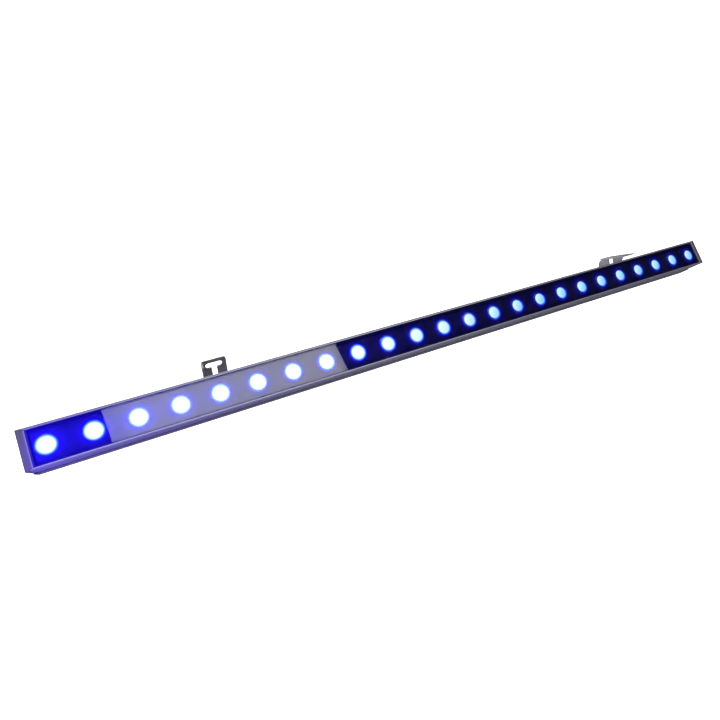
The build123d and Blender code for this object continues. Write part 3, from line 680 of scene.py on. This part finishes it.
class WASHER_OT_stage(bpy.types.Operator):
    """Pale floor and backdrop, soft lights, the card that the glass mirrors, and the camera"""

    bl_idname = "washer.stage"
    bl_label = "Studio"

    def execute(self, context):
        studio = context.scene.washer_studio
        self.add_floor(studio)
        self.add_backdrop(studio)
        self.add_card(studio)
        self.add_lights(studio)
        self.add_camera()
        context.scene.view_settings.view_transform = "Standard"
        return {"FINISHED"}

    def add_floor(self, studio):
        """A wide, flat, nearly white floor."""
        half_width = 8.0
        corners = SQUARE * half_width - [0.0, 0.0, studio.floor_drop]
        material, *_ = start_material(
            "pale_floor",
            "#f6f6f6",
            metallic=0.0,
            roughness=0.9,
            Specular_IOR_Level=0.0,
            Emission_Color="#ffffff",
            Emission_Strength=0.96,
        )
        floor = mesh_piece("floor", corners, ONE_FACE, material)
        floor.visible_glossy = False

    def add_backdrop(self, studio):
        """A pale dome over the floor, seen by the camera alone: a quarter circle swept round Z."""
        radius = 7.5
        arc_points = 10
        rise = np.linspace(0.0, pi / 2, arc_points)
        profile = np.stack([radius * np.cos(rise), radius * np.sin(rise) - studio.floor_drop], axis=1)
        points, faces = lathe(profile, [(0.0, 0.0, 0.0)], turns=32)
        material, *_ = start_material(
            "pale_backdrop",
            "#000000",
            metallic=0.0,
            roughness=1.0,
            Specular_IOR_Level=0.0,
            Emission_Color="#ffffff",
            Emission_Strength=0.98,
        )
        backdrop = mesh_piece("backdrop", points, faces, material)
        backdrop.visible_diffuse = False
        backdrop.visible_glossy = False
        backdrop.visible_transmission = False
        backdrop.visible_shadow = False

    def add_card(self, studio):
        """A white card over the bar, seen only as a mirror image in the glass.

        It is dimmer at its left edge, and fades out at its right one.
        """
        left, right = -0.556, 0.275
        near, far = 0.06, 0.32
        height = 1.244
        left_slant, right_slant = 0.008, 0.018
        rise_length = 0.13
        fall_start, fall_end = right - 0.03, right + 0.01
        dim = 0.35 * studio.card_strength
        faded_share = 0.15
        corners = np.array(
            [
                [left + left_slant, near, height],
                [right + right_slant, near, height],
                [right - right_slant, far, height],
                [left - left_slant, far, height],
            ]
        )
        material, tree, shader = start_material(
            "white_card", "#ffffff", metallic=0.0, roughness=1.0, Emission_Color="#ffffff"
        )
        place = add_node(tree, "TexCoord").outputs["Object"]
        x, _, _ = add_node(tree, "SeparateXYZ", (place,)).outputs
        rise = add_node(tree, "MapRange", (x, left, left + rise_length, dim, studio.card_strength))
        fall = add_node(tree, "MapRange", (x, fall_start, fall_end, 1.0, faded_share))
        fade = add_node(tree, "Math", (rise, fall), operation="MULTIPLY")
        fill_inputs(tree, shader, {"Emission Strength": fade})
        card = mesh_piece("white_card", corners, ONE_FACE, material)
        card.visible_camera = False
        card.visible_diffuse = False

    def add_lights(self, studio):
        """Two large area lights, one on each side of the bar, and a dim grey surround."""
        size = 1.6
        surround = 0.01
        for name, place, power in (
            ("key", Vector((0.5, -1.7, 1.3)), studio.key_power),
            ("fill", Vector((-0.3, 1.9, 1.4)), studio.fill_power),
        ):
            data = bpy.data.lights.new(name, "AREA")
            data.shape = "SQUARE"
            data.size = size
            data.energy = power
            lamp = bpy.data.objects.new(name, data)
            lamp.location = place
            lamp.rotation_euler = (-place).to_track_quat("-Z", "Y").to_euler()
            bpy.context.scene.collection.objects.link(lamp)
        world = bpy.data.worlds.new("studio")
        world.use_nodes = True
        background = world.node_tree.nodes["Background"]
        fill_inputs(world.node_tree, background, {"Color": "#ffffff", "Strength": surround})
        bpy.context.scene.world = world

    def add_camera(self):
        """Camera fitted to the photograph: its place, the way it looks and its lens."""
        place = Vector((-0.3675, -0.0823, 0.5804))
        forward = Vector((0.37558649, 0.12387613, -0.91847128))
        up = Vector((0.26851566, 0.9339763, 0.23577027))
        right = forward.cross(up).normalized()
        data = bpy.data.cameras.new("camera")
        data.lens = 24.425
        data.sensor_width = 36.0
        data.clip_start = 0.01
        camera = bpy.data.objects.new("camera", data)
        turn = Matrix((right, right.cross(forward), -forward)).transposed()
        camera.matrix_world = Matrix.Translation(place) @ turn.to_4x4()
        bpy.context.scene.collection.objects.link(camera)
        bpy.context.scene.camera = camera


class WASHER_OT_housing(bpy.types.Operator):
    """Finish the extrusion, its end caps and their seals"""

    bl_idname = "washer.housing"
    bl_label = "Housing"

    def execute(self, context):
        dress("housing", anodised_aluminium())
        cap = coated_cap()
        silicone = silicone_with_painted_light()
        for hand in ("left", "right"):
            dress("end_cap_" + hand, cap)
            dress("end_gasket_" + hand, silicone)
        return {"FINISHED"}


class WASHER_OT_optics(bpy.types.Operator):
    """Finish the mask, boards and holders, and put a lit lens in each holder"""

    bl_idname = "washer.optics"
    bl_label = "Optics"

    def execute(self, context):
        dress("mask_plate", painted_glow_mask())
        dress("lens_holders", moulded_plastic("black_polycarbonate", "#08080b", "#131317", roughness=0.45))
        package, *_ = start_material(
            "emitter_package",
            "#f2e9a0",
            metallic=0.0,
            roughness=0.4,
            Emission_Color="#5a7cff",
            Emission_Strength=2.0,
        )
        dress("led_emitters", package)
        board = solder_mask("white_solder_mask", "#c9ccd0", "#e3e5e8")
        dress("led_board_left", board)
        dress("led_board_right", board)
        dress("board_connector", moulded_plastic("white_nylon", "#d6d5cf", "#e6e5df", roughness=0.4))
        self.add_lenses()
        return {"FINISHED"}

    def add_lenses(self):
        """24 lenses in one mesh: a cone, a flange with a rounded edge and a shallow dish of rings.

        The dish is a bowl with a ripple: z = top - dish drop - bowl depth (1 - (r / dish radius)^2)
        - ring depth (1 - cos(2 pi r / ring pitch)) / 2.
        """
        top, bottom = LENS_HIGH[2], LENS_LOW[2]
        tip_radius = 0.43 * LENS_RADIUS
        cone_radius = 0.93 * LENS_RADIUS
        under_mask = 1.0 * MM
        flange_foot = top - (MASK_HIGH[2] - MASK_LOW[2] + under_mask)
        rounding = 0.5 * MM
        dish_radius = 0.86 * LENS_RADIUS
        dish_drop = 0.1 * MM
        bowl_depth = 0.5 * MM
        ring_depth = 0.12 * MM
        ring_pitch = 1.7 * MM
        rim_points, dish_points = 6, 26
        angle = np.linspace(0, pi / 2, rim_points)
        rim_r = LENS_RADIUS - rounding + rounding * np.cos(angle)
        rim_z = top - rounding + rounding * np.sin(angle)
        dish_r = np.linspace(1.0, 0.0, dish_points) * dish_radius
        bowl = bowl_depth * (1 - (dish_r / dish_radius) ** 2)
        rings = ring_depth * (1 - np.cos(2 * pi * dish_r / ring_pitch)) / 2
        under = np.array(
            [
                [0.0, bottom],
                [tip_radius, bottom],
                [cone_radius, flange_foot],
                [LENS_RADIUS, flange_foot],
            ]
        )
        rim = np.stack([rim_r, rim_z], axis=1)
        dish = np.stack([dish_r, top - dish_drop - bowl - rings], axis=1)
        profile = np.concatenate([under, rim, dish])
        index = np.arange(LENS_COUNT) - (LENS_COUNT - 1) / 2
        places = np.stack([index * LENS_PITCH, 0 * index, 0 * index], axis=1)
        points, faces = lathe(profile, places, turns=48)
        lenses = mesh_piece("collimator_lenses", points, faces, lit_lens(), smooth_angle=50.0)
        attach(lenses, "lamp")
        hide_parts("lenses")


class WASHER_OT_glazing(bpy.types.Operator):
    """Finish the front glass and lay the sealing bead round its edge"""

    bl_idname = "washer.glazing"
    bl_label = "Glazing"

    def execute(self, context):
        dress("front_glass", toughened_glass())
        silicone = silicone_with_painted_light()
        dress("glass_gasket", silicone)
        self.add_bead(silicone)
        return {"FINISHED"}

    def add_bead(self, silicone):
        """Silicone bead round the glass: a quarter circle that falls inwards from the glass's edge."""
        width = 0.55 * MM
        tuck = 0.1 * MM
        sink = 0.05 * MM
        lift = 0.02 * MM
        arc_points = 7
        angle = np.linspace(0, pi / 2, arc_points)
        fall = np.stack([-width * np.sin(angle), width * np.cos(angle)], axis=1)
        profile = np.concatenate([[[tuck, -sink], [tuck, width]], fall]) + [0.0, lift]
        corners = SQUARE * [GLASS_HIGH[0], GLASS_HIGH[1], 0.0] + [0.0, 0.0, GLASS_HIGH[2]]
        points, faces = framed_strip(corners, SQUARE.astype(float), profile)
        bead = mesh_piece("glazing_bead", points, faces, silicone, smooth_angle=30.0)
        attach(bead, "lamp")


class WASHER_OT_inside(bpy.types.Operator):
    """Finish the driver, its wires and the parts in the rear chamber"""

    bl_idname = "washer.inside"
    bl_label = "Driver and wires"

    def execute(self, context):
        dress("driver_tray", sheet_steel())
        dress("driver_board", solder_mask("green_solder_mask", "#1d5a33", "#0f3d20"))
        dress("driver_components", moulded_plastic("black_epoxy", "#101013", "#1d1d22", roughness=0.35))
        wire = moulded_plastic("red_wire_sheath", "#7d120c", "#9c1a12", roughness=0.4)
        dress("lamp_leads", wire)
        dress("supply_wires", wire)
        dress("terminal_block", moulded_plastic("natural_nylon", "#d2cfc2", "#e2dfd2", roughness=0.45))
        return {"FINISHED"}


class WASHER_OT_fittings(bpy.types.Operator):
    """Finish the gland, the vent, the screws and the pivot hardware"""

    bl_idname = "washer.fittings"
    bl_label = "Gland, vent and screws"

    def execute(self, context):
        nylon = moulded_plastic("black_nylon", "#101014", "#1e1e23", roughness=0.42)
        for node in ("gland_body", "gland_nut", "gland_locknut", "breather_vent"):
            dress(node, nylon)
        dress("gland_seal", moulded_plastic("black_silicone", "#0b0b0f", "#17171c", roughness=0.6))
        zinc = zinc_steel()
        dress("board_screws", zinc)
        for hand in ("left", "right"):
            dress("cap_screws_" + hand, zinc)
            for node in ("channel_nut_", "shoe_screws_", "pivot_bolt_", "pivot_washer_", "pivot_nut_"):
                dress(node + hand, zinc)
        return {"FINISHED"}


class WASHER_OT_brackets(bpy.types.Operator):
    """Finish the wall brackets and their shoes"""

    bl_idname = "washer.brackets"
    bl_label = "Brackets and shoes"

    def execute(self, context):
        steel = coated_steel()
        cast = cast_zinc()
        fibre = moulded_plastic("red_fibre", "#3a1712", "#4d221b", roughness=0.7)
        for hand in ("left", "right"):
            dress("wall_bracket_" + hand, steel)
            dress("shoe_" + hand, cast)
            dress("friction_washer_" + hand, fibre)
        return {"FINISHED"}


STEPS = (
    WASHER_OT_stage,
    WASHER_OT_housing,
    WASHER_OT_optics,
    WASHER_OT_glazing,
    WASHER_OT_inside,
    WASHER_OT_fittings,
    WASHER_OT_brackets,
)


class WASHER_PT_panel(bpy.types.Panel):
    """Lists the looks and the steps in the sidebar."""

    bl_idname = "WASHER_PT_panel"
    bl_label = "Wall washer"
    bl_space_type = "VIEW_3D"
    bl_region_type = "UI"
    bl_category = "Washer"

    def draw(self, context):
        for group in (context.scene.washer_light, context.scene.washer_finish, context.scene.washer_studio):
            box = self.layout.box()
            for name in group.__annotations__:
                box.prop(group, name)
        for step in STEPS:
            self.layout.operator(step.bl_idname)


GROUPS = (("washer_light", WasherLight), ("washer_finish", WasherFinish), ("washer_studio", WasherStudio))


def register():
    for name, group in GROUPS:
        bpy.utils.register_class(group)
        setattr(bpy.types.Scene, name, bpy.props.PointerProperty(type=group))
    for cls in (*STEPS, WASHER_PT_panel):
        bpy.utils.register_class(cls)


def unregister():
    for cls in (WASHER_PT_panel, *reversed(STEPS)):
        bpy.utils.unregister_class(cls)
    for name, group in reversed(GROUPS):
        delattr(bpy.types.Scene, name)
        bpy.utils.unregister_class(group)


def main():
    """Runs every step in order."""
    register()
    bpy.ops.washer.stage()
    bpy.ops.washer.housing()
    bpy.ops.washer.optics()
    bpy.ops.washer.glazing()
    bpy.ops.washer.inside()
    bpy.ops.washer.fittings()
    bpy.ops.washer.brackets()


if __name__ == "__main__":
    main()
